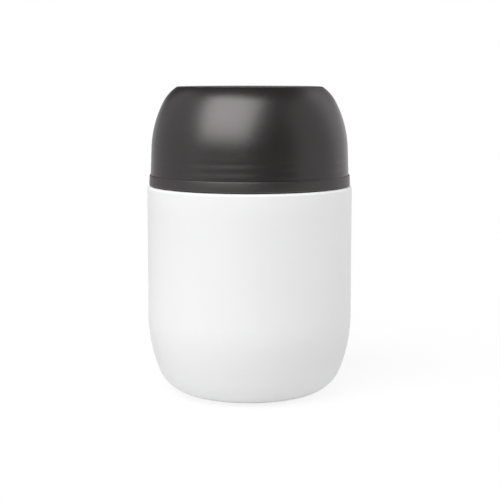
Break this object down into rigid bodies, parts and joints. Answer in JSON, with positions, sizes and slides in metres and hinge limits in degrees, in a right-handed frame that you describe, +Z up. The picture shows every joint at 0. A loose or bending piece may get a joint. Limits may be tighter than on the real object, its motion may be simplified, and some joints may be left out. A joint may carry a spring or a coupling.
{
  "type": "insulated food jar",
  "caption": "Double-walled steel food jar with a rounded base and a domed screw lid; the lid turns and rises on its thread, opens a vent and lifts the insulated stopper out of the mouth.",
  "frame": {"origin": "centre of the base pad's underside, where the jar stands", "axes": "+Z up along the jar's axis; the jar is round about Z, and its threads are right-handed"},
  "size_m": [0.09, 0.09, 0.135],
  "materials": {
    "white_coat": "matte white powder coat on steel",
    "liner_steel": "electropolished satin stainless steel",
    "foil": "bright rolled aluminium foil",
    "plate_steel": "pressed stainless steel",
    "seal_glass": "dark solder glass",
    "getter_metal": "sintered zirconium alloy pill",
    "strap_steel": "stainless strip",
    "pad_rubber": "soft matte silicone",
    "stopper_plastic": "satin white polypropylene",
    "cover_plastic": "satin white polypropylene",
    "stopper_insulation": "expanded polystyrene foam",
    "gasket_rubber": "translucent grey silicone",
    "guide_plastic": "satin charcoal acetal",
    "stem_plastic": "satin charcoal acetal",
    "seal_rubber": "translucent grey silicone",
    "head_plastic": "satin charcoal acetal",
    "lid_plastic": "satin charcoal brown moulded polypropylene",
    "band_plastic": "satin charcoal brown moulded polypropylene",
    "lid_liner_plastic": "satin charcoal brown polypropylene",
    "ring_plastic": "natural grey acetal",
    "lid_insulation": "expanded polystyrene foam"
  },
  "bodies": {
    "jar": {"outer_shell": "white_coat", "inner_liner": "liner_steel", "foil_shield": "foil", "base_plate": "plate_steel", "vacuum_seal": "seal_glass", "getter": "getter_metal", "getter_strap": "strap_steel", "base_pad": "pad_rubber"},
    "stopper": {"stopper_cup": "stopper_plastic", "stopper_cover": "cover_plastic", "stopper_foam": "stopper_insulation", "stopper_gasket": "gasket_rubber", "valve_guide": "guide_plastic"},
    "vent": {"vent_stem": "stem_plastic", "vent_seal": "seal_rubber", "swivel_head": "head_plastic"},
    "lid": {"lid_shell": "lid_plastic", "lid_band": "band_plastic", "lid_liner": "lid_liner_plastic", "swivel_ring": "ring_plastic", "lid_foam": "lid_insulation"}
  },
  "joints": [
    {"name": "lift_off", "type": "slide", "parent": "jar", "child": "stopper", "axis": [0, 0, 1], "range_m": [0, 0.06]},
    {"name": "vent_rise", "type": "slide", "parent": "stopper", "child": "vent", "axis": [0, 0, 1], "range_m": [0, 0.006]},
    {"name": "lid_turn", "type": "hinge", "parent": "vent", "child": "lid", "pos_m": [0, 0, 0.1], "axis": [0, 0, 1], "range_deg": [0, 600]}
  ],
  "couplings": [
    {"joint": "vent_rise", "follows": "lid_turn", "m_per_rad": 0.00057296}
  ]
}
